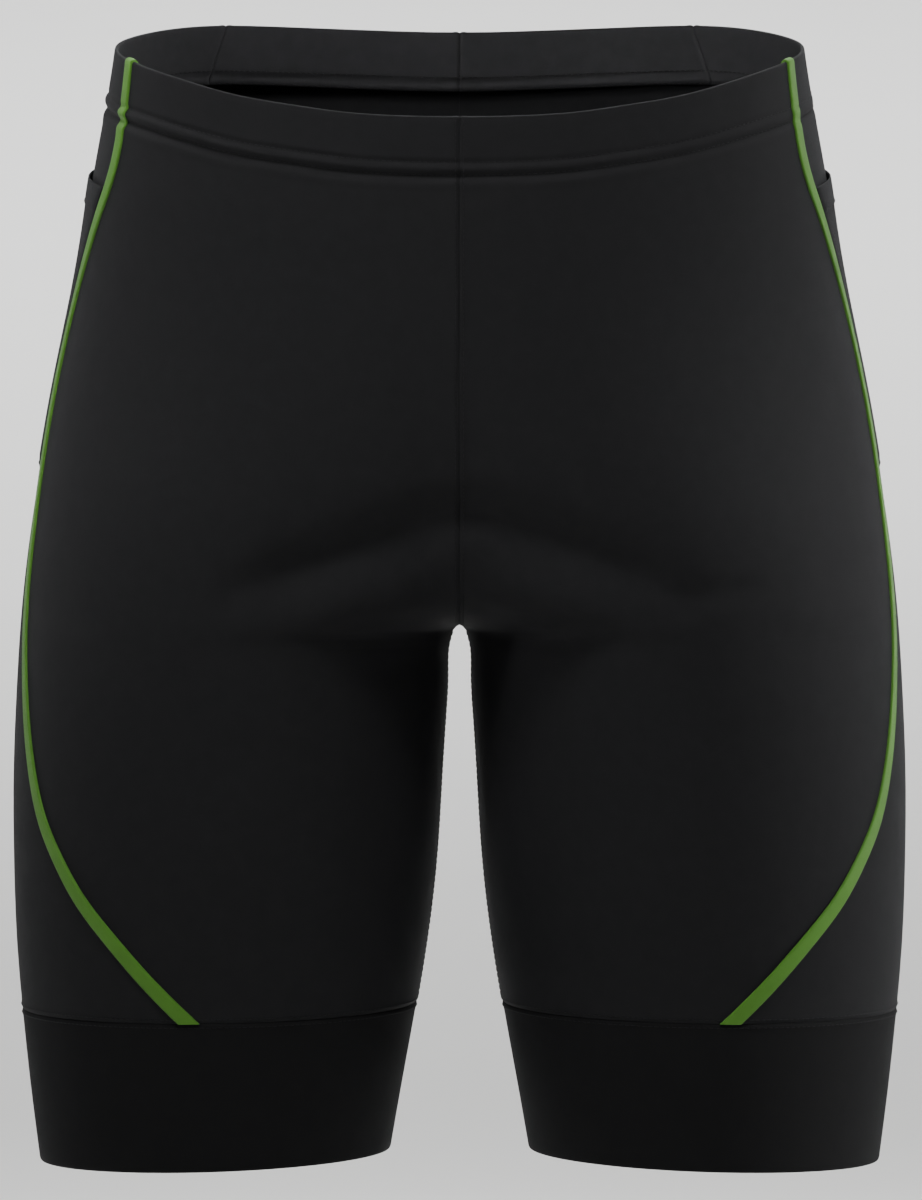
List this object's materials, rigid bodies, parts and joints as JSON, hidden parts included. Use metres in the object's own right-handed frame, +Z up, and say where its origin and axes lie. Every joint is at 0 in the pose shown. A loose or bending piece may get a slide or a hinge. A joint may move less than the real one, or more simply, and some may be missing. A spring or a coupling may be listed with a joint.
{
  "type": "compression shorts",
  "caption": "Close-fitting black sports shorts with deep leg bands, a turned waist casing, side pockets and a green stripe along the side seams, filled out as worn.",
  "frame": {"origin": "middle of the waist opening, level with its side edges, where the wearer holds the shorts", "axes": "+Z up out of the waist, -Y towards the front, +X towards the wearer's left"},
  "size_m": [0.384, 0.2412, 0.4838],
  "materials": {
    "black_knit": "close smooth knit with a soft sheen",
    "cuff_knit": "matt gripping knit, a little darker",
    "green_strip": "flat smooth tape"
  },
  "bodies": {
    "root": {"front_left": "black_knit", "front_right": "black_knit", "side_left": "black_knit", "side_right": "black_knit", "back_left": "black_knit", "back_right": "black_knit", "pocket_left": "black_knit", "pocket_right": "black_knit", "stripe_left": "green_strip", "stripe_right": "green_strip", "cuff_left": "cuff_knit", "cuff_right": "cuff_knit", "waist_casing": "black_knit"}
  },
  "joints": []
}
